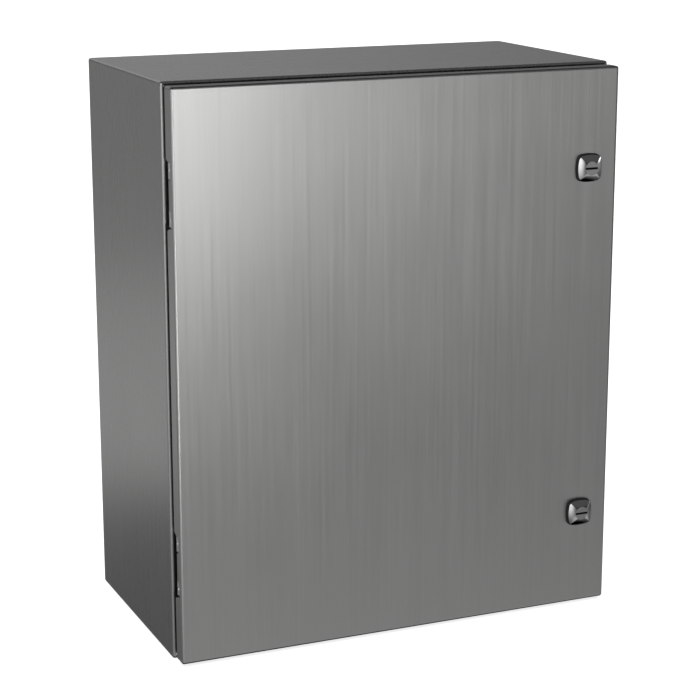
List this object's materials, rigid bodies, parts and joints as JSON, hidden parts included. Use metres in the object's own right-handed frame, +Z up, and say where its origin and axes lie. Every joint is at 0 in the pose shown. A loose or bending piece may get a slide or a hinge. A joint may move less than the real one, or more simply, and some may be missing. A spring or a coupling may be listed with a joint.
{
  "type": "fused disconnect switch",
  "caption": "Wall-mount brushed stainless enclosure with a hinged, latched door and a fused rotary-blade disconnect switch inside.",
  "frame": {"origin": "centre of the four wall holes on the outer face of the back", "axes": "+X to the right seen from the front, +Y into the wall, +Z up; the door faces -Y"},
  "size_m": [0.508, 0.2902, 0.6096],
  "materials": {
    "aluminium": "tin-plated aluminium extrusion",
    "black_foam": "closed-cell foam, matt",
    "black_grip": "black moulded grip",
    "black_rubber": "moulded rubber",
    "bright_steel": "bright machined steel",
    "brushed_stainless": "brushed stainless sheet, vertical grain on the door",
    "clear_polycarbonate": "clear polycarbonate sheet",
    "copper": "copper, lightly tarnished",
    "fibre": "brown vulcanised fibre",
    "fuse_glassfibre": "resin-bonded glass-fibre tube",
    "grey_thermoset": "dark grey moulded thermoset",
    "polished_chrome": "polished die-cast, chrome plated",
    "red_thermoset": "red-brown moulded thermoset",
    "spring_steel": "oiled spring wire",
    "tin_plate": "plated brass caps and blades",
    "white_enamel": "white baked enamel",
    "white_nylon": "natural nylon",
    "zinc_steel": "clear zinc-plated steel"
  },
  "bodies": {
    "enclosure": {"arc_chutes": "fibre", "arc_plates": "bright_steel", "body_ground_nut": "zinc_steel", "body_ground_stud": "bright_steel", "enclosure_body": "brushed_stainless", "frame_screws": "zinc_steel", "fuse_clips_1": "copper", "fuse_clips_2": "copper", "fuse_clips_3": "copper", "ground_lug": "aluminium", "hinge_body_leaf_lower": "bright_steel", "hinge_body_leaf_upper": "bright_steel", "hinge_pins": "bright_steel", "hinge_washers": "white_nylon", "line_contacts": "copper", "line_lugs": "aluminium", "line_shield": "clear_polycarbonate", "load_contacts": "copper", "load_lugs": "aluminium", "load_straps": "copper", "lug_screws": "zinc_steel", "mechanism_frame": "zinc_steel", "mounting_panel": "white_enamel", "panel_nuts": "zinc_steel", "panel_studs": "bright_steel", "pivot_pin": "bright_steel", "switch_base": "grey_thermoset", "switch_screws": "zinc_steel", "toggle_spring": "spring_steel"},
    "door": {"door": "brushed_stainless", "door_gasket": "black_foam", "door_ground_stud": "bright_steel", "hinge_door_leaf_upper": "bright_steel", "hinge_door_leaf_lower": "bright_steel", "latch_housing_upper": "polished_chrome", "latch_housing_lower": "polished_chrome", "latch_seals": "black_rubber", "latch_nuts": "zinc_steel"},
    "upper_latch": {"latch_driver_upper": "polished_chrome", "latch_cam_upper": "zinc_steel", "latch_cam_screw_upper": "zinc_steel"},
    "lower_latch": {"latch_driver_lower": "polished_chrome", "latch_cam_lower": "zinc_steel", "latch_cam_screw_lower": "zinc_steel"},
    "handle": {"handle_lever": "bright_steel", "handle_grip": "black_grip"},
    "link": {"drive_link": "zinc_steel"},
    "rotor": {"rotor_shaft": "red_thermoset", "rotor_crank": "zinc_steel", "blade_pair_1": "copper", "blade_pair_2": "copper", "blade_pair_3": "copper"},
    "fuse_1": {"fuse_tube_1": "fuse_glassfibre", "fuse_caps_1": "tin_plate"},
    "fuse_2": {"fuse_tube_2": "fuse_glassfibre", "fuse_caps_2": "tin_plate"},
    "fuse_3": {"fuse_tube_3": "fuse_glassfibre", "fuse_caps_3": "tin_plate"}
  },
  "joints": [
    {"name": "door_hinge", "type": "hinge", "parent": "enclosure", "child": "door", "pos_m": [-0.2475, -0.2675, 0], "axis": [0, 0, -1], "range_deg": [0, 120]},
    {"name": "upper_latch_turn", "type": "hinge", "parent": "door", "child": "upper_latch", "pos_m": [0.217, -0.281, 0.1945], "axis": [0, -1, 0], "range_deg": [0, 90]},
    {"name": "lower_latch_turn", "type": "hinge", "parent": "door", "child": "lower_latch", "pos_m": [0.217, -0.281, -0.1948], "axis": [0, -1, 0], "range_deg": [0, 90]},
    {"name": "handle_turn", "type": "hinge", "parent": "enclosure", "child": "handle", "pos_m": [0.08, -0.067, 0], "axis": [1, 0, 0], "range_deg": [0, 65]},
    {"name": "rotor_turn", "type": "hinge", "parent": "enclosure", "child": "rotor", "pos_m": [0, -0.067, 0.075], "axis": [1, 0, 0], "range_deg": [0, 65]},
    {"name": "link_swing", "type": "hinge", "parent": "handle", "child": "link", "pos_m": [0.0815, -0.08432, 0.01], "axis": [1, 0, 0], "range_deg": [-65, 0]},
    {"name": "fuse_1_pull", "type": "slide", "parent": "enclosure", "child": "fuse_1", "axis": [0, -1, 0], "range_m": [0, 0.05]},
    {"name": "fuse_2_pull", "type": "slide", "parent": "enclosure", "child": "fuse_2", "axis": [0, -1, 0], "range_m": [0, 0.05]},
    {"name": "fuse_3_pull", "type": "slide", "parent": "enclosure", "child": "fuse_3", "axis": [0, -1, 0], "range_m": [0, 0.05]}
  ],
  "couplings": [
    {"joint": "rotor_turn", "follows": "handle_turn", "ratio": 1},
    {"joint": "link_swing", "follows": "handle_turn", "ratio": -1}
  ]
}
